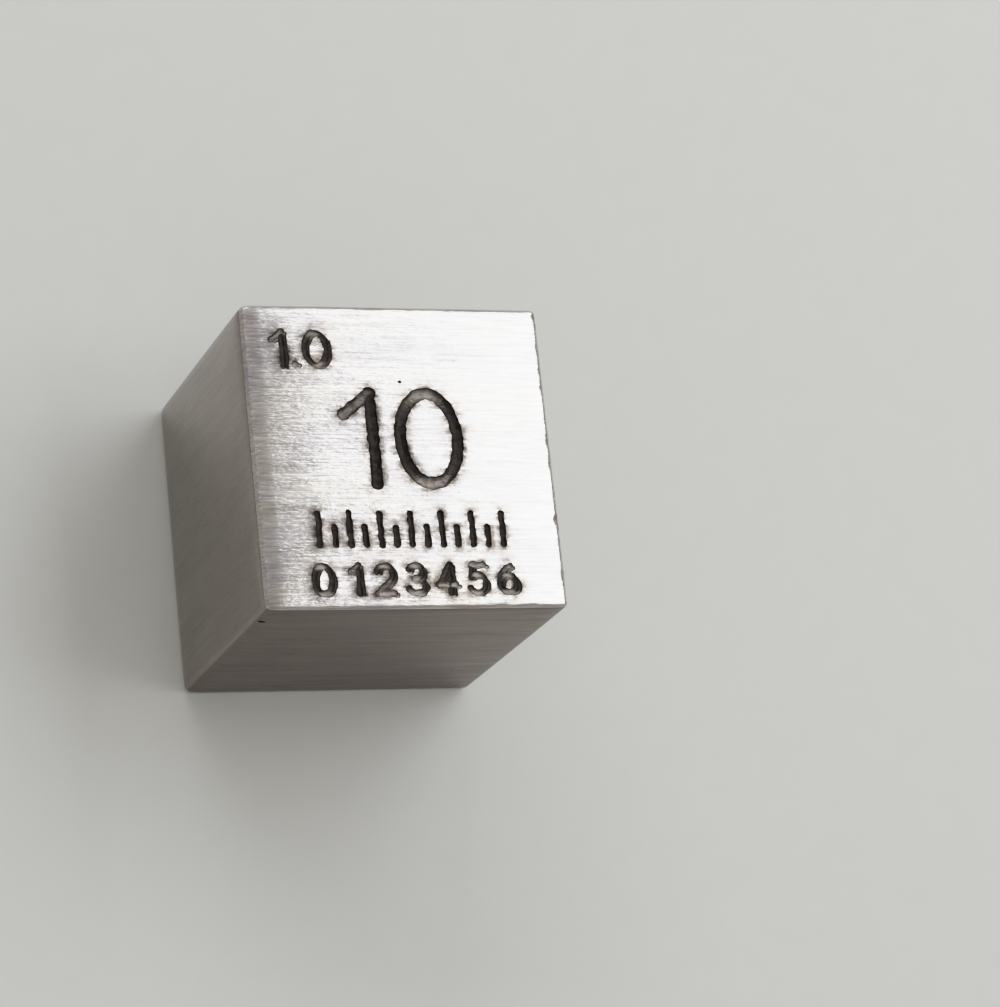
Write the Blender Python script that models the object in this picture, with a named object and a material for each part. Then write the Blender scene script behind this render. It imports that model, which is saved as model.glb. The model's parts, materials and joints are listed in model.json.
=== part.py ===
"""A cube of bismuth metal, 10 mm on each edge, with marks engraved in its top and its underside.

The cube is one solid piece: a sawn block whose faces were ground flat and whose edges were just broken.
It rests on its underside, with the origin at the centre of that face, +Z up and the marks' text running along +X.
Each mark is a set of strokes. A round-nosed tool is drawn along each stroke and sinks a little deeper where it
starts, turns or stops, so a stroke is a tube and each of its ends is a slightly larger ball, both cut from the cube.
"""

import math

import bmesh
import bpy
from mathutils import Matrix, Vector

MM = 0.001

# The block
EDGE = 10.0 * MM
EDGE_BREAK = 0.08 * MM
EDGE_BREAK_SEGMENTS = 2

# The tool that cuts the marks
FINE_STROKE = 0.22 * MM
BROAD_STROKE = 0.42 * MM
TOOL_LIFT = 0.25
DWELL_GROWTH = 1.12
TUBE_BEVEL_RESOLUTION = 2
BALL_SEGMENTS = 8
BALL_RINGS = 6
DEGREES_PER_CHORD = 22.5
WELD_DISTANCE = 0.0005 * MM

# Rows of marks: their heights, baselines and places across a face, measured from the face's centre
SMALL_NUMBER_HEIGHT = 1.10 * MM
SMALL_NUMBER_LEFT = -4.00 * MM
SMALL_NUMBER_BASE = 2.93 * MM

LARGE_NUMBER_HEIGHT = 2.95 * MM
LARGE_NUMBER_LEFT = -1.95 * MM
LARGE_NUMBER_BASE = -0.92 * MM

SCALE_DIVISION = 1.00 * MM
SCALE_DIVISIONS = 6
LONG_TICK = 1.00 * MM
SHORT_TICK = 0.55 * MM
TICK_TOP = -1.90 * MM

DIGIT_HEIGHT = 0.88 * MM
DIGIT_BASE = -4.45 * MM

VOLUME_HEIGHT = 1.38 * MM
VOLUME_BASE = 1.14 * MM
VOLUME_SPACING = 0.42

SIZE_HEIGHT = 1.24 * MM
SIZE_BASE = -2.08 * MM

# The gap between two figures of a row, in units of their height
SPACING = 0.30

# The finish of the ground metal
METAL_COLOUR = (0.46, 0.43, 0.41, 1.0)
METAL_ROUGHNESS = 0.38


def arc(centre, radii, start, end):
    """Points along part of an ellipse, from start to end degrees, anticlockwise where end is the larger."""
    chords = max(3, round(abs(end - start) / DEGREES_PER_CHORD))
    angles = [math.radians(start + (end - start) * step / chords) for step in range(chords + 1)]
    return [(centre[0] + radii[0] * math.cos(a), centre[1] + radii[1] * math.sin(a)) for a in angles]


def loop(centre, radii):
    """A closed ellipse, from its top round to its top again."""
    return arc(centre, radii, 90, 450)


# Each figure is a list of strokes in units of its own height, standing on the baseline.
FIGURES = {
    "0": [loop((0.32, 0.50), (0.32, 0.50))],
    "1": [
        [(0.04, 0.77), (0.34, 1.00)],
        [(0.34, 1.00), (0.34, 0.00)],
    ],
    "2": [
        arc((0.30, 0.70), (0.29, 0.30), 165, -35) + [(0.02, 0.00)],
        [(0.02, 0.00), (0.60, 0.00)],
    ],
    "3": [
        arc((0.28, 0.76), (0.26, 0.24), 155, -90),
        arc((0.28, 0.26), (0.31, 0.26), 90, -155),
    ],
    "4": [
        [(0.46, 0.00), (0.46, 1.00)],
        [(0.46, 1.00), (0.00, 0.29)],
        [(0.00, 0.29), (0.64, 0.29)],
    ],
    "5": [
        [(0.55, 1.00), (0.12, 1.00)],
        [(0.12, 1.00), (0.06, 0.56)],
        arc((0.27, 0.33), (0.31, 0.33), 132, -150),
    ],
    "6": [
        loop((0.31, 0.31), (0.30, 0.31)),
        arc((0.61, 0.33), (0.60, 0.66), 180, 108),
    ],
    ".": [[(0.06, 0.04)]],
    "x": [
        [(0.04, 0.16), (0.54, 0.70)],
        [(0.04, 0.70), (0.54, 0.16)],
    ],
}


def figure_width(figure):
    """How far a figure's strokes reach to the right of its left side, in units of its height."""
    return max(x for stroke in FIGURES[figure] for x, _ in stroke)


def placed(stroke, left, base, height):
    """A figure's stroke at its real size and place on a face."""
    return [(left + x * height, base + y * height) for x, y in stroke]


def row_of_figures(text, left, base, height, width, spacing=SPACING):
    """The strokes of a line of figures, set one after another, each with the width that the tool cuts."""
    strokes = []
    for figure in text:
        strokes += [(placed(stroke, left, base, height), width) for stroke in FIGURES[figure]]
        left += (figure_width(figure) + spacing) * height
    return strokes


def centred_row(text, middle, base, height, width, spacing=SPACING):
    """A line of figures with as much of it to the left of the middle as to the right."""
    length = sum(figure_width(figure) for figure in text) + spacing * (len(text) - 1)
    return row_of_figures(text, middle - length * height / 2, base, height, width, spacing)


def millimetre_scale():
    """Ticks every half division under the large number, and the number of each whole division under them."""
    strokes = []
    half_steps = 2 * SCALE_DIVISIONS
    for step in range(half_steps + 1):
        x = (step - SCALE_DIVISIONS) * SCALE_DIVISION / 2
        length = SHORT_TICK if step % 2 else LONG_TICK
        strokes.append(([(x, TICK_TOP - LONG_TICK + length), (x, TICK_TOP - LONG_TICK)], FINE_STROKE))
        if step % 2 == 0:
            strokes += centred_row(str(step // 2), x, DIGIT_BASE, DIGIT_HEIGHT, FINE_STROKE)
    return strokes


def top_marks():
    """The edge length in centimetres, the same in millimetres, and a scale of whole and half millimetres."""
    return (
        row_of_figures("1.0", SMALL_NUMBER_LEFT, SMALL_NUMBER_BASE, SMALL_NUMBER_HEIGHT, FINE_STROKE)
        + row_of_figures("10", LARGE_NUMBER_LEFT, LARGE_NUMBER_BASE, LARGE_NUMBER_HEIGHT, BROAD_STROKE)
        + millimetre_scale()
    )


def underside_marks():
    """The volume in cubic millimetres, over the lengths of two edges."""
    volume = centred_row("1000", 0.0, VOLUME_BASE, VOLUME_HEIGHT, FINE_STROKE, VOLUME_SPACING)
    return volume + centred_row("10x10", 0.0, SIZE_BASE, SIZE_HEIGHT, FINE_STROKE)


def clear_scene():
    for obj in list(bpy.data.objects):
        bpy.data.objects.remove(obj, do_unlink=True)


def new_collection(name):
    collection = bpy.data.collections.new(name)
    bpy.context.scene.collection.children.link(collection)
    return collection


def metal():
    """Ground bismuth: a pale grey metal with a faint warm tint."""
    material = bpy.data.materials.new("ground_bismuth")
    material.use_nodes = True
    shader = material.node_tree.nodes["Principled BSDF"]
    shader.inputs["Base Color"].default_value = METAL_COLOUR
    shader.inputs["Metallic"].default_value = 1.0
    shader.inputs["Roughness"].default_value = METAL_ROUGHNESS
    return material


def add_cutter(name, mesh, matrix, collection):
    """A helper that only cuts: it is drawn as a wire and left out of renders."""
    cutter = bpy.data.objects.new(name, mesh)
    cutter.matrix_world = matrix
    cutter.display_type = "WIRE"
    cutter.hide_render = True
    collection.objects.link(cutter)


def is_closed(stroke):
    """True of a loop, whose last point repeats its first."""
    return len(stroke) > 2 and math.dist(stroke[0], stroke[-1]) < WELD_DISTANCE


def tube_mesh(name, stroke, radius):
    """The path of the tool along one stroke, as a closed tube: a bevelled curve turned into a welded mesh."""
    points = stroke[:-1] if is_closed(stroke) else stroke
    curve = bpy.data.curves.new(name, "CURVE")
    curve.dimensions = "3D"
    curve.twist_mode = "Z_UP"
    curve.bevel_depth = radius
    curve.bevel_resolution = TUBE_BEVEL_RESOLUTION
    curve.use_fill_caps = True
    spline = curve.splines.new("POLY")
    spline.points.add(len(points) - 1)
    for point, (x, y) in zip(spline.points, points):
        point.co = (x, y, 0.0, 1.0)
    spline.use_cyclic_u = is_closed(stroke)
    guide = bpy.data.objects.new(name, curve)
    bpy.context.scene.collection.objects.link(guide)
    graph = bpy.context.evaluated_depsgraph_get()
    mesh = bpy.data.meshes.new_from_object(guide.evaluated_get(graph))
    bpy.data.objects.remove(guide, do_unlink=True)
    welded = bmesh.new()
    welded.from_mesh(mesh)
    bmesh.ops.remove_doubles(welded, verts=welded.verts, dist=WELD_DISTANCE)
    bmesh.ops.recalc_face_normals(welded, faces=welded.faces)
    welded.to_mesh(mesh)
    welded.free()
    return mesh


def ball_mesh(name, centre, radius):
    """The nose of the tool where it dwells."""
    mesh = bpy.data.meshes.new(name)
    ball = bmesh.new()
    bmesh.ops.create_uvsphere(
        ball,
        u_segments=BALL_SEGMENTS,
        v_segments=BALL_RINGS,
        radius=radius,
        matrix=Matrix.Translation((centre[0], centre[1], 0.0)),
    )
    ball.to_mesh(mesh)
    ball.free()
    return mesh


def engrave(name, marks, face, collection):
    """Adds the cutters for one face's marks. The face matrix carries the marks' plane onto the face."""
    dwells = []
    for number, (stroke, width) in enumerate(marks):
        nose = width / 2 / math.sqrt(1 - TOOL_LIFT**2)
        lifted = face @ Matrix.Translation((0.0, 0.0, nose * TOOL_LIFT))
        if len(stroke) > 1:
            tube = tube_mesh(f"{name}_stroke_{number:02d}", stroke, nose)
            add_cutter(tube.name, tube, lifted, collection)
        if is_closed(stroke):
            continue
        for point in (stroke[0], stroke[-1]):
            if all(math.dist(point, earlier) > WELD_DISTANCE for earlier in dwells):
                ball = ball_mesh(f"{name}_dwell_{len(dwells):02d}", point, nose * DWELL_GROWTH)
                add_cutter(ball.name, ball, lifted, collection)
                dwells.append(point)


def block_mesh():
    """The bare cube with its edges broken, standing on the origin."""
    mesh = bpy.data.meshes.new("bismuth_cube")
    block = bmesh.new()
    bmesh.ops.create_cube(block, size=EDGE, matrix=Matrix.Translation((0.0, 0.0, EDGE / 2)))
    bmesh.ops.bevel(
        block,
        geom=block.edges,
        offset=EDGE_BREAK,
        segments=EDGE_BREAK_SEGMENTS,
        profile=0.5,
        affect="EDGES",
        material=-1,
    )
    block.to_mesh(mesh)
    block.free()
    return mesh


def main():
    clear_scene()
    parts = new_collection("bismuth_metal_cube")
    cutters = new_collection("engraving_cutters")

    cube = bpy.data.objects.new("bismuth_cube", block_mesh())
    cube.data.materials.append(metal())
    parts.objects.link(cube)

    top_face = Matrix.Translation((0.0, 0.0, EDGE))
    underside = Matrix.Rotation(math.pi, 4, Vector((0.0, 1.0, 0.0)))
    engrave("top", top_marks(), top_face, cutters)
    engrave("underside", underside_marks(), underside, cutters)

    engraving = cube.modifiers.new("engraving", "BOOLEAN")
    engraving.operation = "DIFFERENCE"
    engraving.solver = "EXACT"
    engraving.operand_type = "COLLECTION"
    engraving.collection = cutters


main()
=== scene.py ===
# %% [markdown]
# # A ground and engraved cube of bismuth
#
# The imported solid is a plain 10 mm cube with coarse grooves. This lesson dresses it as the real metal:
# faces that were sanded by hand and are a little rounded towards their edges, grooves that a rotary tool
# burnt and tore, and an oxide film, which on the sides is darkened with painted shade. Everything is
# placed from the imported frame, so the new surface lies where the solid is.

import json
import math

import bmesh
import bpy
import numpy as np
from mathutils import Matrix, Vector, noise

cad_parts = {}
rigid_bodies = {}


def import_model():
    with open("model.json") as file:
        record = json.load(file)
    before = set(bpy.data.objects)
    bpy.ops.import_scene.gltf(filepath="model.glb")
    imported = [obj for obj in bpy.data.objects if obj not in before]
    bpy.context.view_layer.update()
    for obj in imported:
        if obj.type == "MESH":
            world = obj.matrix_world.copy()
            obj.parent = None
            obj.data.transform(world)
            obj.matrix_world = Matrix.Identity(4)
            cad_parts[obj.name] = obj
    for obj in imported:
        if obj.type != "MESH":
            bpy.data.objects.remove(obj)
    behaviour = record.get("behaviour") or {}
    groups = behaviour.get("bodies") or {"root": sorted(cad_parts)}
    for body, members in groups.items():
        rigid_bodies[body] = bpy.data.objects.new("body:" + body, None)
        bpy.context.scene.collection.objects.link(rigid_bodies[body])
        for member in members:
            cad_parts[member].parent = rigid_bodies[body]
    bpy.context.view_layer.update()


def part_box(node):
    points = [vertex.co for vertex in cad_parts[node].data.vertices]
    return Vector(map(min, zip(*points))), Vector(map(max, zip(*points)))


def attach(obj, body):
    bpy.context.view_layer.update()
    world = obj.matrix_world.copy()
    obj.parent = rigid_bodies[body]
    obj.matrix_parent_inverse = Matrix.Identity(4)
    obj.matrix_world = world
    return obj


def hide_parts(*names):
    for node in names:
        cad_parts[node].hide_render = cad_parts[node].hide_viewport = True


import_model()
low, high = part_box("bismuth_cube")
MM = 0.001
EDGE = high.z - low.z
HALF = EDGE / 2
CENTRE = (low + high) / 2

# %% [markdown]
# ## The camera
#
# The camera comes first, because it decides how fine the detail has to be. Its place and its direction
# were solved from the corners of the cube, in millimetres from the middle of the cube's underside. It is
# a long lens close by, so the nearest clipping distance has to be short.

# %% Camera
CAMERA_PLACE = Vector((-37.37, -34.81, 114.85)) * MM
CAMERA_AIM = Vector((6.857, 1.593, 0.0)) * MM
IMAGE_RIGHT = Vector((0.93876, -0.10451, 0.32835))
LENS_MM = 134.0
SENSOR_MM = 36.0
NEAREST = 1 * MM
FARTHEST = 10.0
IMAGE_LONG_SIDE = 1007


def add_camera():
    """Places the camera by where it stands, what it aims at and which way is right in the image."""
    lens = bpy.data.cameras.new("camera")
    lens.lens = LENS_MM
    lens.sensor_width = SENSOR_MM
    lens.clip_start = NEAREST
    lens.clip_end = FARTHEST
    camera = bpy.data.objects.new("camera", lens)
    back = (CAMERA_PLACE - CAMERA_AIM).normalized()
    up = back.cross(IMAGE_RIGHT).normalized()
    right = up.cross(back)
    turn = Matrix((right, up, back)).transposed().to_4x4()
    camera.matrix_world = Matrix.Translation(CAMERA_PLACE) @ turn
    bpy.context.scene.collection.objects.link(camera)
    bpy.context.scene.camera = camera


add_camera()
distance = (CAMERA_PLACE - CENTRE).length
pixel = distance * SENSOR_MM / LENS_MM / IMAGE_LONG_SIDE
print(f"one pixel covers {pixel / MM:.3f} mm of the cube")

# %% [markdown]
# ## The block
#
# On the real object this is a sawn block whose edges were only just broken. It starts as a cube with
# narrow bevels. Planes then slice it into small cells, so that there are vertices to move when the faces
# are worn later. The marks are cut while the faces are still flat, because a Boolean is at its most
# reliable there.

# %% Slice the bevelled cube into cells
EDGE_BREAK = 0.14 * MM
EDGE_BREAK_SEGMENTS = 5
CELL = 0.15 * MM
SLICE_TOLERANCE = 0.001 * MM


def sliced_block():
    """The bevelled cube, cut across by evenly spaced planes along each axis."""
    block = bmesh.new()
    bmesh.ops.create_cube(block, size=EDGE, matrix=Matrix.Translation(CENTRE))
    bmesh.ops.bevel(
        block,
        geom=block.edges,
        offset=EDGE_BREAK,
        segments=EDGE_BREAK_SEGMENTS,
        profile=0.5,
        affect="EDGES",
        material=-1,
    )
    cells = round((EDGE - 2 * EDGE_BREAK) / CELL)
    for axis in range(3):
        normal = Vector((0, 0, 0))
        normal[axis] = 1
        for step in range(1, cells):
            place = CENTRE + normal * ((EDGE - 2 * EDGE_BREAK) * (step / cells - 0.5))
            geometry = block.verts[:] + block.edges[:] + block.faces[:]
            bmesh.ops.bisect_plane(
                block, geom=geometry, dist=SLICE_TOLERANCE, plane_co=place, plane_no=normal
            )
    return block


block = sliced_block()
print(f"the sliced block has {len(block.faces)} faces")

# %% [markdown]
# ## The figures
#
# The figures are the plain single-line ones that engraving machines use: each is a few strokes made of
# straight runs and arcs, in units of its own height. A font would give filled outlines, which a tool
# can't follow, so the strokes are written out.

# %% Single-line figures
CHORD_DEGREES = 9
FEWEST_CHORDS = 4


def arc(centre, radii, start, end):
    """Points along part of an ellipse, from start to end degrees."""
    chords = max(FEWEST_CHORDS, round(abs(end - start) / CHORD_DEGREES))
    angles = [math.radians(start + (end - start) * step / chords) for step in range(chords + 1)]
    return [(centre[0] + radii[0] * math.cos(a), centre[1] + radii[1] * math.sin(a)) for a in angles]


FIGURES = {
    "0": [arc((0.32, 0.50), (0.32, 0.50), 90, 450)],
    "1": [[(0.04, 0.77), (0.34, 1.00)], [(0.34, 1.00), (0.34, 0.00)]],
    "2": [arc((0.30, 0.70), (0.29, 0.30), 165, -35) + [(0.02, 0.00)], [(0.02, 0.00), (0.60, 0.00)]],
    "3": [arc((0.28, 0.76), (0.26, 0.24), 155, -90), arc((0.28, 0.26), (0.31, 0.26), 90, -155)],
    "4": [[(0.46, 0.00), (0.46, 1.00)], [(0.46, 1.00), (0.00, 0.29)], [(0.00, 0.29), (0.64, 0.29)]],
    "5": [
        [(0.55, 1.00), (0.12, 1.00)],
        [(0.12, 1.00), (0.06, 0.56)],
        arc((0.27, 0.33), (0.31, 0.33), 132, -150),
    ],
    "6": [arc((0.31, 0.31), (0.30, 0.31), 90, 450), arc((0.61, 0.33), (0.60, 0.66), 180, 108)],
    ".": [[(0.06, 0.04), (0.061, 0.04)]],
    "x": [[(0.04, 0.16), (0.54, 0.70)], [(0.04, 0.70), (0.54, 0.16)]],
}
print(f"{len(FIGURES)} figures, made of {sum(len(strokes) for strokes in FIGURES.values())} strokes")

# %% [markdown]
# ## The rows of marks
#
# On the top stand the edge in centimetres, the edge in millimetres, and a millimetre scale with a digit
# under each long tick. On the underside stand the volume and the lengths of two edges. They are set where
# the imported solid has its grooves, so the same sizes and baselines are used here.

# %% Rows of marks on the two engraved faces
FIGURE_GAP = 0.30
VOLUME_GAP = 0.42
FINE = 0.22 * MM
BROAD = 0.42 * MM
SMALL_HEIGHT = 1.10 * MM
SMALL_BASE = 2.93 * MM
SMALL_LEFT = -4.00 * MM
LARGE_HEIGHT = 2.95 * MM
LARGE_BASE = -0.92 * MM
LARGE_LEFT = -1.95 * MM
VOLUME_HEIGHT = 1.38 * MM
VOLUME_BASE = 1.14 * MM
LENGTHS_HEIGHT = 1.24 * MM
LENGTHS_BASE = -2.08 * MM
SCALE_DIVISIONS = 6
TICK_FOOT = -2.90 * MM
LONG_TICK = 1.00 * MM
SHORT_TICK = 0.55 * MM
DIGIT_HEIGHT = 0.88 * MM
DIGIT_BASE = -4.45 * MM


def row(text, height, base, left=None, gap=FIGURE_GAP):
    """The strokes of a row of figures. Without a left side given, the row is centred on the face."""
    widths = [max(x for stroke in FIGURES[figure] for x, _ in stroke) for figure in text]
    if left is None:
        left = -(sum(widths) + gap * (len(text) - 1)) * height / 2
    strokes = []
    for figure, width in zip(text, widths):
        for stroke in FIGURES[figure]:
            strokes.append([(left + x * height, base + y * height) for x, y in stroke])
        left += (width + gap) * height
    return strokes


def shifted(strokes, across, up):
    """The same strokes, moved on their face."""
    return [[(x + across, y + up) for x, y in stroke] for stroke in strokes]


ticks = []
digits = []
for half_step in range(2 * SCALE_DIVISIONS + 1):
    x = (half_step - SCALE_DIVISIONS) * MM / 2
    length = SHORT_TICK if half_step % 2 else LONG_TICK
    ticks.append([(x, TICK_FOOT + length), (x, TICK_FOOT)])
    if half_step % 2 == 0:
        digits.append(shifted(row(str(half_step // 2), DIGIT_HEIGHT, DIGIT_BASE), x, 0))
print(f"a scale of {len(ticks)} ticks and {len(digits)} digits")

# %% [markdown]
# ## Wander and tear
#
# The real grooves are torn rather than cut: their path wanders, their width changes and their edges are
# ragged. Noise does all three. It is read at each point's own place, so neighbouring points move
# together. Blender starts its vector noise from the clock, so a seed is set first, and every run tears
# the grooves in the same way.

# %% Noise that moves the tool and tears its cut
NOISE_SEED = 7
STEP = 0.05 * MM
WANDER = 0.018 * MM
WANDER_LENGTH = 0.40 * MM
UPRIGHT_WANDER = 0.6
TEAR = 0.032 * MM
TEAR_LENGTH = 0.20 * MM
noise.seed_set(NOISE_SEED)


def even_steps(stroke):
    """The same stroke with a point every step, so that the noise has points to move."""
    points = [Vector((*stroke[0], 0))]
    for start, end in zip(stroke, stroke[1:]):
        run = Vector((*end, 0)) - Vector((*start, 0))
        count = max(1, round(run.length / STEP))
        points += [Vector((*start, 0)) + run * (n / count) for n in range(1, count + 1)]
    return points


def wandered(point, seed):
    """A point pushed sideways, and less up or down, as the tool wanders."""
    shift = noise.noise_vector(point / WANDER_LENGTH + Vector((0, 0, seed)))
    return point + Vector((shift.x, shift.y, shift.z * UPRIGHT_WANDER)) * WANDER


def roughen(mesh, seed):
    """Tears the walls of a cutter."""
    for vertex in mesh.vertices:
        tear = noise.noise_vector(vertex.co / TEAR_LENGTH + Vector((seed, 0, 0)))
        vertex.co += tear * TEAR


print(f"the tool wanders by up to {WANDER / MM:.3f} mm, and its cut is torn by up to {TEAR / MM:.3f} mm")

# %% [markdown]
# ## The tool's path
#
# A rotary tool with a round nose leaves a round-bottomed groove, and a slightly wider dimple where it
# dwells at the ends of a stroke. A curve with a round bevel is the simplest swept tool, because each of
# its points has its own radius. An icosphere is the simplest dimple.

# %% One stroke of the tool
TUBE_BEVEL_RESOLUTION = 3
WIDTH_CHANGE = 0.16
WIDTH_CHANGE_LENGTH = 0.5 * WANDER_LENGTH
WIDTH_CHANGE_SEED = 5
FEWEST_LOOP_POINTS = 8
CLOSED_WITHIN = 0.01 * MM
WELD_DISTANCE = 0.0005 * MM
BALL_SUBDIVISIONS = 2


def is_loop(points):
    """True of a stroke that ends where it began."""
    return (points[0] - points[-1]).length < CLOSED_WITHIN and len(points) > FEWEST_LOOP_POINTS


def tool_path(points, radius, seed):
    """A bevelled curve along the points, with its own radius at each."""
    curve = bpy.data.curves.new("stroke", "CURVE")
    curve.dimensions = "3D"
    curve.twist_mode = "Z_UP"
    curve.bevel_depth = radius
    curve.bevel_resolution = TUBE_BEVEL_RESOLUTION
    curve.use_fill_caps = True
    spline = curve.splines.new("POLY")
    spline.use_cyclic_u = is_loop(points)
    if spline.use_cyclic_u:
        points = points[:-1]
    spline.points.add(len(points) - 1)
    for target, point in zip(spline.points, points):
        target.co = (*wandered(point, seed), 1)
        place = point / WIDTH_CHANGE_LENGTH + Vector((0, 0, seed + WIDTH_CHANGE_SEED))
        target.radius = 1 + WIDTH_CHANGE * noise.noise(place)
    return curve


def swept_tool(points, radius, seed):
    """The same curve as a closed mesh: its capped ends are welded to its tube."""
    guide = bpy.data.objects.new("stroke", tool_path(points, radius, seed))
    bpy.context.scene.collection.objects.link(guide)
    graph = bpy.context.evaluated_depsgraph_get()
    mesh = bpy.data.meshes.new_from_object(guide.evaluated_get(graph))
    bpy.data.objects.remove(guide)
    welded = bmesh.new()
    welded.from_mesh(mesh)
    bmesh.ops.remove_doubles(welded, verts=welded.verts, dist=WELD_DISTANCE)
    bmesh.ops.recalc_face_normals(welded, faces=welded.faces)
    welded.to_mesh(mesh)
    welded.free()
    return mesh


def dwell(name, point, radius):
    """The ball that the tool's nose cuts where it stands still."""
    mesh = bpy.data.meshes.new(name)
    ball = bmesh.new()
    matrix = Matrix.Translation(point)
    bmesh.ops.create_icosphere(ball, subdivisions=BALL_SUBDIVISIONS, radius=radius, matrix=matrix)
    ball.to_mesh(mesh)
    ball.free()
    return mesh


print(f"a tube has {2 * (TUBE_BEVEL_RESOLUTION + 2)} sides")

# %% [markdown]
# ## Engraving
#
# The tool's nose is held a little above the face, so that the groove is shallower than half a ball. Each
# stroke becomes a cutter on its face, with a ball at each end of an open stroke. The places that the tool
# passed are noted as well, because wear and soot depend later on how near a groove is.

# %% Cutters for both faces
TOOL_LIFT = 0.25
DWELL_GROWTH = 1.08
TOP_FINE_SEED = 10
TOP_BROAD_SEED = 200
UNDER_SEED = 300

cutters = bpy.data.collections.new("cutters")
bpy.context.scene.collection.children.link(cutters)
samples = []


def engrave(strokes, width, face, first_seed, lift_share=TOOL_LIFT):
    """Adds the cutters of some strokes, carried onto a face, and notes where they run."""
    radius = width / 2 / math.sqrt(1 - lift_share**2)
    lift = Matrix.Translation((0, 0, radius * lift_share))
    for seed, stroke in enumerate(strokes, first_seed):
        points = even_steps(stroke)
        shapes = [swept_tool(points, radius, seed)]
        if not is_loop(points):
            for end in (points[0], points[-1]):
                shapes.append(dwell("dwell", wandered(end, seed), radius * DWELL_GROWTH))
        for shape in shapes:
            roughen(shape, seed)
            shape.transform(face @ lift)
            cutters.objects.link(bpy.data.objects.new(shape.name, shape))
        for before, point in zip([points[1]] + points, points):
            run = (point - before).normalized()
            samples.append((face @ point, face.to_3x3() @ run, width / 2))


top_face = Matrix.Translation((CENTRE.x, CENTRE.y, high.z))
under_face = Matrix.Translation((CENTRE.x, CENTRE.y, low.z)) @ Matrix.Rotation(math.pi, 4, "Y")
small_number = row("1.0", SMALL_HEIGHT, SMALL_BASE, left=SMALL_LEFT)
large_number = row("10", LARGE_HEIGHT, LARGE_BASE, left=LARGE_LEFT)
volume = row("1000", VOLUME_HEIGHT, VOLUME_BASE, gap=VOLUME_GAP)
lengths = row("10x10", LENGTHS_HEIGHT, LENGTHS_BASE)
scale = []
for number, tick in enumerate(ticks):
    scale.append(tick)
    if number % 2 == 0:
        scale += digits[number // 2]
engrave(small_number + scale, FINE, top_face, TOP_FINE_SEED)
engrave(large_number, BROAD, top_face, TOP_BROAD_SEED)
engrave(volume + lengths, FINE, under_face, UNDER_SEED)

# %% [markdown]
# ## Second pass and pits
#
# On the real object the small figures look doubled, because the tool went over them twice and didn't
# quite meet its first path. The second pass is the same strokes, shifted, thinner and shallower. Two pits
# are left where a hard speck was torn out: a round one above the large number, and a drawn-out one by a
# corner of the front.

# %% Second pass and pits
SECOND_PASS_SHIFT = (0.115 * MM, -0.065 * MM)
SECOND_PASS_WIDTH = 0.13 * MM
SECOND_PASS_LIFT = 0.45
SECOND_PASS_SEED = 400
PIT_SEED = 500
# Each pit's place and radius in millimetres, and how far it is drawn out along X
PITS = (
    ((0.10, 2.42, 10.0), 0.055, 1.2),
    ((-4.66, -4.98, 8.60), 0.085, 1.9),
)

doubled = shifted(small_number + [stroke for digit in digits for stroke in digit], *SECOND_PASS_SHIFT)
engrave(doubled, SECOND_PASS_WIDTH, top_face, SECOND_PASS_SEED, SECOND_PASS_LIFT)
for seed, (place, radius, stretch) in enumerate(PITS, PIT_SEED):
    pit = dwell("pit", Vector((0, 0, 0)), radius * MM)
    pit.transform(Matrix.Translation(Vector(place) * MM) @ Matrix.Diagonal((stretch, 1, 1, 1)))
    roughen(pit, seed)
    cutters.objects.link(bpy.data.objects.new("pit", pit))

# %% [markdown]
# ## Materials
#
# One small function adds a node with its settings and links. Colours are written as sRGB hex, as a colour
# picker gives them, and turned to the linear values that the shader works in.

# %% Helpers for materials


def linear(hex_colour):
    """An sRGB hex colour as linear RGBA, by the curve of the sRGB standard."""
    channels = [int(hex_colour[at : at + 2], 16) / 255 for at in (1, 3, 5)]
    return tuple(c / 12.92 if c <= 0.04045 else ((c + 0.055) / 1.055) ** 2.4 for c in channels) + (1.0,)


def add(tree, kind, settings=None, links=None):
    """Adds a node. Settings name its attributes or sockets, and links name what feeds its sockets."""
    node = tree.nodes.new(kind)
    for key, value in (settings or {}).items():
        if isinstance(key, str) and hasattr(node, key):
            setattr(node, key, value)
        else:
            node.inputs[key].default_value = value
    for key, output in (links or {}).items():
        tree.links.new(output, node.inputs[key])
    return node


def new_material(name):
    """A material with its node tree and its shader."""
    material = bpy.data.materials.new(name)
    material.use_nodes = True
    return material, material.node_tree, material.node_tree.nodes["Principled BSDF"]


def set_stops(ramp, stops):
    """Gives a colour ramp its stops, each a position and a hex colour."""
    elements = ramp.color_ramp.elements
    elements[0].position = stops[0][0]
    elements[-1].position = stops[-1][0]
    for position, _ in stops[1:-1]:
        elements.new(position)
    for element, (_, hex_colour) in zip(elements, stops):
        element.color = linear(hex_colour)


print(f"middle grey in linear light is {linear('#808080')[0]:.3f}")

# %% [markdown]
# ### Patterns of rubbing
#
# Grit of about 0.05 mm leaves metal covered in parallel scratches that are some micrometres wide. Those
# are too fine to show in the render, where a pixel covers about 0.03 mm, so they are drawn coarser, two
# or three pixels wide. Every pattern is noise that is stretched along the direction of rubbing. It is
# read in Object coordinates, so it stays with the piece.

# %% Patterns of rubbing
# Each pattern's length along the rubbing and its width across it in mm, then its detail and its offset
PATTERNS = {
    "scratches": (0.9, 0.085, 2.0, 0.0),
    "hairlines": (3.0, 0.055, 2.0, 5.0),
    "bands": (5.0, 0.35, 2.0, 11.0),
    "grain": (0.26, 0.06, 2.0, 23.0),
    "patches": (2.6, 1.3, 3.0, 37.0),
    "smears": (0.50, 0.24, 3.0, 51.0),
}
SOOT_SPOTS = (0.35, 0.06, 3.0, 0.0)
PATTERN_ROUGHNESS = 0.6


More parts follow.
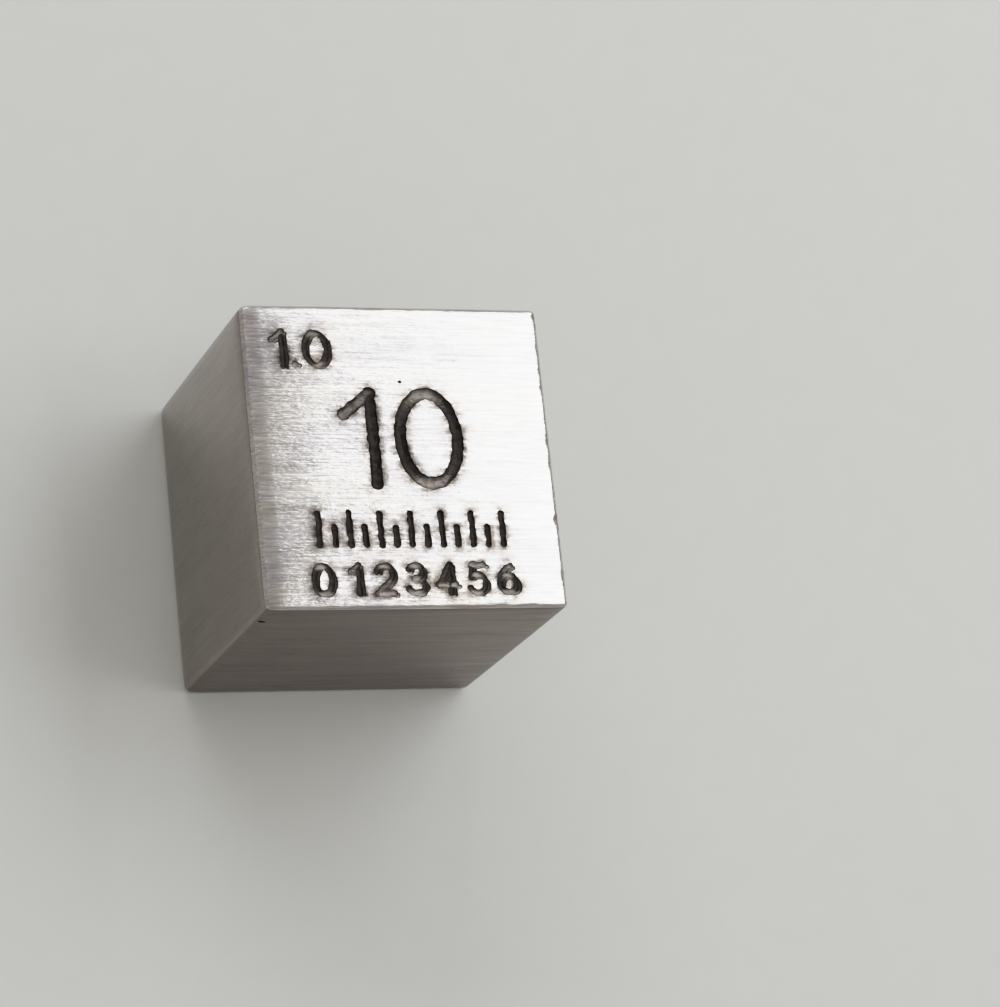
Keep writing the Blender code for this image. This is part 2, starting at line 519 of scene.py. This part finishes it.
def rubbed_pattern(tree, along, length, width, detail, offset):
    """Noise whose spots are so long along one axis and so wide across it."""
    place = add(tree, "ShaderNodeTexCoord").outputs["Object"]
    scale = [1 / (width * MM)] * 3
    scale[along] = 1 / (length * MM)
    mapping = {"Scale": scale, "Location": (offset, offset, offset)}
    stretched = add(tree, "ShaderNodeMapping", mapping, {"Vector": place}).outputs["Vector"]
    settings = {"Scale": 1.0, "Detail": detail, "Roughness": PATTERN_ROUGHNESS}
    return add(tree, "ShaderNodeTexNoise", settings, {"Vector": stretched}).outputs["Fac"]


print(f"{len(PATTERNS)} patterns, the finest {min(width for _, width, _, _ in PATTERNS.values())} mm wide")

# %% [markdown]
# ### Colour of the film and the painted shade
#
# Bismuth is a white metal with a pink cast. Air gives it a thin oxide film: faint on the face that was
# rubbed last, and brown or grey on the sides. The sides' tints are also darkened with painted shade,
# because the sides mirror the floor in the cube's own shade. Soft patches change the film's tint, the
# scratches streak it, and soot is smeared over it beside the grooves. A colour ramp gives the tints, a
# multiplication the streaks and a mix the soot.

# %% Colour of the film
PATCH_STOPS = (0.32, 0.50, 0.70)
SCRATCH_SHARE = 0.5
HAIRLINE_SHARE = 0.5
STREAK_RANGE = {"From Min": 0.36, "From Max": 0.62, "To Max": 1.08}
SMEAR_RANGE = {"From Min": 0.38, "From Max": 0.62, "To Min": 0.25, "To Max": 1.35}
SOOT_COLOUR = "#6b625a"


def film_and_shade_colour(tree, patterns, tints, darkest_streak):
    """The film's three tints, on the sides darkened with painted shade, streaked by the scratches and
    dirtied by soot.
    """
    tint = add(tree, "ShaderNodeValToRGB", {}, {"Fac": patterns["patches"]})
    set_stops(tint, list(zip(PATCH_STOPS, tints)))
    scratches = add(
        tree, "ShaderNodeMath", {"operation": "MULTIPLY", 1: SCRATCH_SHARE}, {0: patterns["scratches"]}
    )
    streaks = add(
        tree,
        "ShaderNodeMath",
        {"operation": "MULTIPLY_ADD", 1: HAIRLINE_SHARE},
        {0: patterns["hairlines"], 2: scratches.outputs["Value"]},
    )
    streak_range = STREAK_RANGE | {"To Min": darkest_streak}
    streaked = add(tree, "ShaderNodeMapRange", streak_range, {"Value": streaks.outputs["Value"]})
    colour = add(
        tree,
        "ShaderNodeMix",
        {"data_type": "RGBA", "blend_type": "MULTIPLY", "Factor": 1.0},
        {6: tint.outputs["Color"], 7: streaked.outputs["Result"]},
    )
    soot = add(tree, "ShaderNodeAttribute", {"attribute_name": "soot"}).outputs["Fac"]
    smeared = add(tree, "ShaderNodeMapRange", SMEAR_RANGE, {"Value": patterns["smears"]}).outputs["Result"]
    smudge = add(tree, "ShaderNodeMath", {"operation": "MULTIPLY"}, {0: soot, 1: smeared})
    return add(
        tree,
        "ShaderNodeMix",
        {"data_type": "RGBA", 7: linear(SOOT_COLOUR)},
        {"Factor": smudge.outputs["Value"], 6: colour.outputs[2]},
    ).outputs[2]


print(f"the film's tint changes over {PATCH_STOPS[0]} to {PATCH_STOPS[-1]} of the patch noise")

# %% [markdown]
# ### Ground bismuth
#
# Scratches make the metal shine across them in a broad streak and hardly along them. That is what
# anisotropy does, with the tangent taken from a map of the rubbing, and it is what tells a ground face
# from a cast one. The metal is fully metallic with a roughness of about 0.2 to 0.3, and its bands are a
# little duller or brighter. A bump gives the scratches their glints. Its height is a few micrometres, so
# it changes no outline.

# %% Ground bismuth
ROUGHNESS_RANGE = {"From Min": 0.3, "From Max": 0.7, "To Min": 0.19, "To Max": 0.29}
ANISOTROPY = 0.7
QUARTER_TURN = 0.25
RELIEF_SHARES = {"hairlines": 0.35, "grain": 1.1, "bands": 2.0}


def ground_bismuth(name, along, tints, relief_height, darkest_streak):
    """The metal rubbed along one axis, 0 for X or 2 for Z, under an oxide film of three tints, which on
    the sides also hold painted shade.
    """
    material, tree, shader = new_material(name)
    patterns = {kind: rubbed_pattern(tree, along, *sizes) for kind, sizes in PATTERNS.items()}
    tree.links.new(film_and_shade_colour(tree, patterns, tints, darkest_streak), shader.inputs["Base Color"])

    dull = add(tree, "ShaderNodeMapRange", ROUGHNESS_RANGE, {"Value": patterns["bands"]})
    tree.links.new(dull.outputs["Result"], shader.inputs["Roughness"])

    relief = patterns["scratches"]
    for kind, share in RELIEF_SHARES.items():
        settings = {"operation": "MULTIPLY_ADD", 1: share}
        relief = add(tree, "ShaderNodeMath", settings, {0: patterns[kind], 2: relief}).outputs["Value"]
    bump = add(tree, "ShaderNodeBump", {"Strength": 1.0, "Distance": relief_height}, {"Height": relief})
    tree.links.new(bump.outputs["Normal"], shader.inputs["Normal"])

    tangent = add(tree, "ShaderNodeTangent", {"direction_type": "UV_MAP", "uv_map": "rubbing"})
    tree.links.new(tangent.outputs["Tangent"], shader.inputs["Tangent"])
    shader.inputs["Metallic"].default_value = 1.0
    shader.inputs["Anisotropic"].default_value = ANISOTROPY
    shader.inputs["Anisotropic Rotation"].default_value = QUARTER_TURN
    return material


print(f"the relief adds {', '.join(RELIEF_SHARES)} to the scratches")

# %% [markdown]
# ### Burnt groove
#
# The bottom of a groove is torn metal under a skin of soot and oxide. It is almost black, with a grey
# glint where the groove runs along the scratches, because the last rubbing brushed the soot out there.
# Soot is no metal, so the surface is only half metallic, and it is dull.

# %% Burnt groove
BARE_SHARE = 0.55
BARE_START = -0.04
SPOT_SHARE = 0.5
SOOT_STOPS = ((0.15, "#1d1816"), (0.40, "#3f3732"), (0.75, "#a8a09b"))
CRUST_HEIGHT = 0.012 * MM
SOOT_METALLIC = 0.45
SOOT_ROUGHNESS = 0.55


def burnt_groove():
    """Sooted metal, barer where the attribute says that it was brushed."""
    material, tree, shader = new_material("sooted_groove")
    spots = rubbed_pattern(tree, 0, *SOOT_SPOTS)
    brushed = add(tree, "ShaderNodeAttribute", {"attribute_name": "brushed"}).outputs["Fac"]
    bare_settings = {"operation": "MULTIPLY_ADD", 1: BARE_SHARE, 2: BARE_START}
    bare = add(tree, "ShaderNodeMath", bare_settings, {0: brushed}).outputs["Value"]
    spot_settings = {"operation": "MULTIPLY_ADD", 1: SPOT_SHARE}
    share = add(tree, "ShaderNodeMath", spot_settings, {0: spots, 2: bare}).outputs["Value"]
    colour = add(tree, "ShaderNodeValToRGB", {}, {"Fac": share})
    set_stops(colour, SOOT_STOPS)
    tree.links.new(colour.outputs["Color"], shader.inputs["Base Color"])
    bump = add(tree, "ShaderNodeBump", {"Strength": 1.0, "Distance": CRUST_HEIGHT}, {"Height": spots})
    tree.links.new(bump.outputs["Normal"], shader.inputs["Normal"])
    shader.inputs["Metallic"].default_value = SOOT_METALLIC
    shader.inputs["Roughness"].default_value = SOOT_ROUGHNESS
    return material


sooted = burnt_groove()
print(f"{sooted.name}: {len(sooted.node_tree.nodes)} nodes")

# %% [markdown]
# ### The three ground finishes
#
# The top and the underside were rubbed last, so they are fresh: bright, with strong streaks. The sides
# have had time to film over, and a film evens the metal out, so their streaks are weak. The sides' tints
# are darker than the film alone: that darkness is painted shade, because the sides mirror the floor in the
# cube's own shade. The front and the back are brown, the darkest, and rubbed along X. The left and the
# right are greyer and rubbed upright.

# %% The three ground finishes
RUBBED_ALONG_X = 0
RUBBED_UPRIGHT = 2
FRESH = ("#c8c4c8", "#d7d2d1", "#dbd6ce")
# The two side tints are partly oxide film and partly painted shade; the brown one for the front and back
# holds the most shade.
BROWN_FILM_AND_SHADE = ("#71655f", "#766a63", "#7a6e66")
GREY_FILM_AND_SHADE = ("#8d857e", "#928a83", "#958d86")
FRESH_RELIEF = 0.007 * MM
FILMED_RELIEF = 0.005 * MM
FRESH_STREAK = 0.66
FILMED_STREAK = 0.91

fresh_level = ground_bismuth("fresh_ground_bismuth", RUBBED_ALONG_X, FRESH, FRESH_RELIEF, FRESH_STREAK)
filmed_and_shaded_level = ground_bismuth(
    "brown_filmed_shaded_ground_bismuth", RUBBED_ALONG_X, BROWN_FILM_AND_SHADE, FILMED_RELIEF, FILMED_STREAK
)
filmed_and_shaded_upright = ground_bismuth(
    "grey_filmed_shaded_ground_bismuth", RUBBED_UPRIGHT, GREY_FILM_AND_SHADE, FILMED_RELIEF, FILMED_STREAK
)
print("finishes:", ", ".join(material.name for material in (fresh_level, filmed_and_shaded_level, filmed_and_shaded_upright)))

# %% [markdown]
# ## Cutting and dressing the block
#
# Each face of the block gets its finish first. The Boolean then runs once with every cutter. Its transfer
# mode gives the cut faces the cutters' material, so the grooves know that they are grooves.

# %% Give each face its finish
FRESH_SLOT, LEVEL_SLOT, UPRIGHT_SLOT = range(3)
FRESH_TILT = 0.35


def finish_slot(normal):
    """The slot of a face by the way it faces. The bevels round the top and the underside are fresh."""
    if abs(normal.z) > FRESH_TILT:
        return FRESH_SLOT
    faced = max(range(3), key=lambda axis: abs(normal[axis]))
    return (UPRIGHT_SLOT, LEVEL_SLOT, FRESH_SLOT)[faced]


uncut = bpy.data.meshes.new("bismuth_cube_surface")
for face in block.faces:
    face.material_index = finish_slot(face.normal)
block.to_mesh(uncut)
block.free()
for material in (fresh_level, filmed_and_shaded_level, filmed_and_shaded_upright, sooted):
    uncut.materials.append(material)
print(f"the uncut block has {len(uncut.polygons)} faces in {len(uncut.materials)} slots")

# %% [markdown]
# The Boolean is a modifier on a rough block, which is evaluated once and thrown away with its cutters.
# Its solver is the exact one, because many of the cutters overlap and the fast one can't handle that.

# %% Cut the block


def cut_block(mesh):
    """The mesh with every cutter taken out of it."""
    rough = bpy.data.objects.new("rough_block", mesh)
    bpy.context.scene.collection.objects.link(rough)
    for cutter in cutters.objects:
        cutter.data.materials.append(sooted)
    cut = rough.modifiers.new("engraving", "BOOLEAN")
    cut.operation = "DIFFERENCE"
    cut.solver = "EXACT"
    cut.material_mode = "TRANSFER"
    cut.operand_type = "COLLECTION"
    cut.collection = cutters
    graph = bpy.context.evaluated_depsgraph_get()
    result = bpy.data.meshes.new_from_object(rough.evaluated_get(graph))
    bpy.data.objects.remove(rough)
    for cutter in list(cutters.objects):
        bpy.data.objects.remove(cutter)
    bpy.data.collections.remove(cutters)
    return result


mesh = cut_block(uncut)
print(f"cut: {len(mesh.vertices)} vertices, {len(mesh.polygons)} faces")

# %% [markdown]
# ## Distance from the grooves
#
# Lips, soot and brushing all depend on where the tool went. The tool's path was noted as sample points,
# so each vertex near an engraved face looks for its nearest one. The search goes in chunks, because a
# table of every vertex against every sample would be large.

# %% Measure how near each vertex is to a groove
FAR_AWAY = 1.0
ENGRAVED_DEPTH = 0.5 * MM
BOTTOM_SHARE = 0.65
CHUNK = 2000


def tool_gaps(mesh):
    """For each vertex, how far the nearest groove is, and how far that groove's bottom was brushed."""
    places = np.array([place for place, _, _ in samples], np.float32)
    runs = np.array([abs(run.x) for _, run, _ in samples], np.float32)
    radii = np.array([radius for _, _, radius in samples], np.float32)
    points = np.empty(len(mesh.vertices) * 3, np.float32)
    mesh.vertices.foreach_get("co", points)
    points = points.reshape(-1, 3)
    gaps = np.full(len(points), FAR_AWAY, np.float32)
    brushed = np.zeros(len(points), np.float32)
    from_middle = np.abs(points[:, 2] - CENTRE.z)
    engraved = np.flatnonzero(from_middle > HALF - ENGRAVED_DEPTH)
    for chunk in np.array_split(engraved, 1 + len(engraved) // CHUNK):
        distances = np.linalg.norm(points[chunk][:, None, :] - places[None, :, :], axis=2) - radii[None, :]
        nearest = distances.argmin(axis=1)
        gaps[chunk] = np.maximum(0, distances[np.arange(len(chunk)), nearest])
        depths = HALF - from_middle[chunk]
        bottom = np.clip(depths / (BOTTOM_SHARE * radii[nearest]), 0, 1)
        brushed[chunk] = runs[nearest] ** 2 * bottom
    return gaps, brushed


gaps, brushed = tool_gaps(mesh)
print(f"{int((gaps == 0).sum())} vertices lie within the tool's width")

# %% [markdown]
# ## Wear at the margins
#
# The cube was rubbed on abrasive paper, and paper gives a little, so each face drops towards its edges:
# by the square of how far a point is into the worn margin, so that the slope starts gently. The last
# stretch before an edge is rolled over as well. The left side is worn and rolled the most. Where two
# margins meet at a corner, their drops are blended rather than added, or the corner would sink and its
# narrow bevel would fold over itself.

# %% Drop towards the edges
WORN_MARGIN = 2.6 * MM
WORN_DROP = 0.036 * MM
LEFT_WORN_DROP = 0.056 * MM
ROLLED_MARGIN = 0.70 * MM
ROLLED_DROP = 0.070 * MM
CRISP_DROP = 0.024 * MM
CORNER_BLEND = 4


def into_margin(distance, margin):
    """The square of how far a point is into a margin: 0 at its inner side and 1 at the edge."""
    return max(0.0, 1 - distance / margin) ** 2


def margin_drop(local, to_face, axis, others):
    """How far a face is rubbed down towards the two pairs of faces beside it."""
    towards = []
    for other in others:
        by_left_face = local.x < 0 and 0 in (axis, other)
        wear = LEFT_WORN_DROP if by_left_face else WORN_DROP
        roll = ROLLED_DROP if by_left_face else CRISP_DROP
        wear *= into_margin(to_face[other], WORN_MARGIN)
        roll *= into_margin(to_face[other], ROLLED_MARGIN)
        towards.append(wear + roll)
    return sum(share**CORNER_BLEND for share in towards) ** (1 / CORNER_BLEND)


edge_drop = WORN_DROP + CRISP_DROP
left_edge_drop = LEFT_WORN_DROP + ROLLED_DROP
print(f"an edge drops by {edge_drop / MM:.3f} mm, and on the left by {left_edge_drop / MM:.3f} mm")

# %% [markdown]
# ## Nicks in the edges
#
# Handling bites small nicks into the edges, deepest round the right side. Two noises of different sizes
# decide where: only their peaks reach over the threshold, so the edge is whole between the nicks.

# %% Nicks
NICK_DEPTH = 0.05 * MM
RAGGED_NICK_DEPTH = 0.16 * MM
NICK_LENGTH = 0.22 * MM
NICK_SHARE = 0.30
NICK_REACH = 0.20 * MM
LARGE_CHIPS = 0.7
SMALL_CHIPS = 0.5
SMALL_CHIP_SCALE = 2.7


def ramp(value, low_end, high_end):
    """0 at the low end, 1 at the high end, and a smooth step between."""
    t = min(1.0, max(0.0, (value - low_end) / (high_end - low_end)))
    return t * t * (3 - 2 * t)


def nick_drop(place, local, edge_distance):
    """How deep a nick is at a point, which is nothing away from the edges."""
    edge_nearness = 1 - ramp(edge_distance, 0, NICK_REACH)
    large = noise.noise(place / NICK_LENGTH) * LARGE_CHIPS
    small = noise.noise(place / NICK_LENGTH * SMALL_CHIP_SCALE) * SMALL_CHIPS
    depth = RAGGED_NICK_DEPTH if local.x > HALF - 2 * EDGE_BREAK else NICK_DEPTH
    return depth * edge_nearness * max(0.0, large + small - NICK_SHARE)


print(f"nicks reach {NICK_REACH / MM:.2f} mm from an edge")

# %% [markdown]
# ## Moving the surface
#
# A faint crown and slow waves are added, because no face that is rubbed by hand is flat. The metal that
# the tool pushed aside stands up as a broken lip along each groove. A point moves with each face that it
# is near, and with less of the movement the deeper it lies, so the walls of the grooves follow their
# face.

# %% Wear the faces and raise the lips
SURFACE_BAND = 0.30 * MM
CROWN = 0.010 * MM
WAVE_HEIGHT = 0.004 * MM
WAVE_LENGTH = 2.6 * MM
WAVE_SPACING = 7.0
LIP_HEIGHT = 0.010 * MM
LIP_WIDTH = 0.05 * MM
LIP_LENGTH = 0.16 * MM


def worn(place, gap):
    """Where a point ends up after sanding and handling. The gap is how far it is from a groove."""
    local = place - CENTRE
    to_face = [HALF - abs(local[axis]) for axis in range(3)]
    moved = local.copy()
    for axis in range(3):
        on_face = 1 - ramp(to_face[axis], 0, SURFACE_BAND)
        if on_face == 0:
            continue
        others = [other for other in range(3) if other != axis]
        drop = margin_drop(local, to_face, axis, others)
        drop += CROWN * sum((local[other] / HALF) ** 2 for other in others) / 2
        wave = noise.noise(place / WAVE_LENGTH + Vector((axis * WAVE_SPACING, 0, 0)))
        drop += WAVE_HEIGHT * (0.5 + 0.5 * wave)
        drop += nick_drop(place, local, min(to_face[other] for other in others))
        drop -= LIP_HEIGHT * math.exp(-gap / LIP_WIDTH) * (0.5 + noise.noise(place / LIP_LENGTH))
        moved[axis] -= math.copysign(drop * on_face, local[axis])
    return CENTRE + moved


for vertex, gap in zip(mesh.vertices, gaps.tolist()):
    vertex.co = worn(vertex.co, gap)
worn_size = max(vertex.co.x for vertex in mesh.vertices) - min(vertex.co.x for vertex in mesh.vertices)
print(f"faces crowned, margins dropped, edges nicked and lips raised: {worn_size / MM:.3f} mm wide")

# %% [markdown]
# ## What the materials need to know
#
# Two attributes tell the materials where the tool has been: how near a point is to a groove, for the soot
# round it, and how far the groove runs along X, for the brushing inside it. A map of the cube's sides
# gives the direction of rubbing, so that the shine stretches across the scratches.

# %% Attributes and the rubbing map
SOOT_REACH = 0.16 * MM
FACING = 0.7


def map_rubbing(mesh):
    """U runs along the scratches: along X, or upright on the two sides that face X."""
    layer = mesh.uv_layers.new(name="rubbing")
    for polygon in mesh.polygons:
        for corner in polygon.loop_indices:
            place = mesh.vertices[mesh.loops[corner].vertex_index].co
            if abs(polygon.normal.x) > FACING:
                uv = (place.z, place.y)
            elif abs(polygon.normal.z) > FACING:
                uv = (place.x, place.y)
            else:
                uv = (place.x, place.z)
            layer.data[corner].uv = (uv[0] / EDGE, uv[1] / EDGE)


for name, values in (("soot", np.exp(-gaps / SOOT_REACH)), ("brushed", brushed)):
    mesh.attributes.new(name, "FLOAT", "POINT").data.foreach_set("value", values.astype(np.float32))
map_rubbing(mesh)
print(f"attributes: {', '.join(a.name for a in mesh.attributes if a.name in ('soot', 'brushed'))}")

# %% [markdown]
# ## The finished piece
#
# The surface is shaded smooth, but stays sharp where it turns by more than 35 degrees, as it does at the
# rims of the grooves. It rides on the cube's body and stands for the imported node.

# %% Add the piece to the scene
SHARP_DEGREES = 35

mesh.shade_smooth()
mesh.set_sharp_from_angle(angle=math.radians(SHARP_DEGREES))
cube = bpy.data.objects.new("bismuth_cube_surface", mesh)
bpy.context.scene.collection.objects.link(cube)
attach(cube, "root")
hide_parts("bismuth_cube")
print(f"{sum(len(p.vertices) - 2 for p in mesh.polygons)} triangles in the dressed cube")

# %% [markdown]
# ## Floor
#
# The floor is plain, pale and matt, as paper is. Matt paper scatters light evenly, so a high roughness
# and a barely mottled colour are all it needs.

# %% Floor
FLOOR_SIZE = 1.2
FLOOR_COLOURS = ("#dbdbd8", "#dfdfdc")
FLOOR_ROUGHNESS = 0.7
FIBRE_SCALE = 900.0
FIBRE_DETAIL = 3.0


def add_floor():
    """A large square sheet at the height of the cube's underside."""
    material, tree, shader = new_material("matt_pale_floor")
    place = add(tree, "ShaderNodeTexCoord").outputs["Object"]
    fibre_settings = {"Scale": FIBRE_SCALE, "Detail": FIBRE_DETAIL}
    fibres = add(tree, "ShaderNodeTexNoise", fibre_settings, {"Vector": place}).outputs["Fac"]
    shade = add(
        tree,
        "ShaderNodeMix",
        {"data_type": "RGBA", 6: linear(FLOOR_COLOURS[0]), 7: linear(FLOOR_COLOURS[1])},
        {"Factor": fibres},
    )
    tree.links.new(shade.outputs[2], shader.inputs["Base Color"])
    shader.inputs["Roughness"].default_value = FLOOR_ROUGHNESS
    sheet = bmesh.new()
    bmesh.ops.create_grid(sheet, x_segments=1, y_segments=1, size=FLOOR_SIZE / 2)
    mesh = bpy.data.meshes.new("floor")
    sheet.to_mesh(mesh)
    sheet.free()
    mesh.materials.append(material)
    floor = bpy.data.objects.new("floor", mesh)
    bpy.context.scene.collection.objects.link(floor)


add_floor()
print(f"a floor of {FLOOR_SIZE} m on a side")

# %% [markdown]
# ## Light
#
# One large soft light stands where the camera's view mirrors off the top face, so that the top is bright.
# The sides mirror the floor in the cube's own shade, so they are dark. The left end of that light is
# placed so that the worn margin of the top tips its reflection past the light and turns grey. A second
# soft light at the back fills the shadow. The lights are slightly cool and the surroundings slightly
# warm, as daylight indoors is.

# %% Light
LIGHT_HEIGHT = 0.300
WINDOW = {"left": 0.093, "right": 0.330, "front": -0.092, "back": 0.334}
WINDOW_RADIANCE = 2.7
FILL = {"left": -0.250, "right": 0.060, "front": 0.280, "back": 0.560}
FILL_RADIANCE = 3.2
COOL_DAYLIGHT = (0.955, 0.985, 1.0)
SURROUNDINGS_RADIANCE = 0.36
WARM_SURROUNDINGS = (1.0, 0.965, 0.90, 1.0)


def add_softbox(name, sides, radiance):
    """A level soft light over the table, with a given brightness of its face."""
    light = bpy.data.lights.new(name, "AREA")
    light.shape = "RECTANGLE"
    light.size = sides["right"] - sides["left"]
    light.size_y = sides["back"] - sides["front"]
    light.color = COOL_DAYLIGHT
    light.energy = radiance * math.pi * light.size * light.size_y
    box = bpy.data.objects.new(name, light)
    middle = ((sides["left"] + sides["right"]) / 2, (sides["front"] + sides["back"]) / 2)
    box.location = (*middle, LIGHT_HEIGHT)
    bpy.context.scene.collection.objects.link(box)
    print(f"{name}: {light.size:.2f} by {light.size_y:.2f} m")


add_softbox("window_softbox", WINDOW, WINDOW_RADIANCE)
add_softbox("fill_softbox", FILL, FILL_RADIANCE)
world = bpy.data.worlds.new("studio")
world.use_nodes = True
world.node_tree.nodes["Background"].inputs["Color"].default_value = WARM_SURROUNDINGS
world.node_tree.nodes["Background"].inputs["Strength"].default_value = SURROUNDINGS_RADIANCE
bpy.context.scene.world = world

# %% [markdown]
# ## Glare
#
# A camera rolls the glare of bright metal off softly instead of clipping it. A curve in the view settings
# does the same here: up to a light grey it changes nothing, and above that it bends over, so that the
# scratches still show.

# %% Soft shoulder for the glare
BRIGHTEST = 2.4
SHOULDER = ((0.6, 0.60), (1.0, 0.86), (1.6, 0.945), (BRIGHTEST, 0.975))
COMBINED_CURVE = 3


def soften_glare():
    """Bends the brightest values over, by a curve on all three channels together."""
    view = bpy.context.scene.view_settings
    view.view_transform = "Standard"
    view.use_curve_mapping = True
    mapping = view.curve_mapping
    mapping.white_level = (BRIGHTEST, BRIGHTEST, BRIGHTEST)
    all_channels = mapping.curves[COMBINED_CURVE]
    all_channels.points[1].location = (1.0, SHOULDER[-1][1])
    for bright, shown in SHOULDER[:-1]:
        all_channels.points.new(bright / BRIGHTEST, shown)
    all_channels.points[0].handle_type = "VECTOR"
    mapping.update()


soften_glare()
print(f"glare of {BRIGHTEST} is shown as {SHOULDER[-1][1]}")
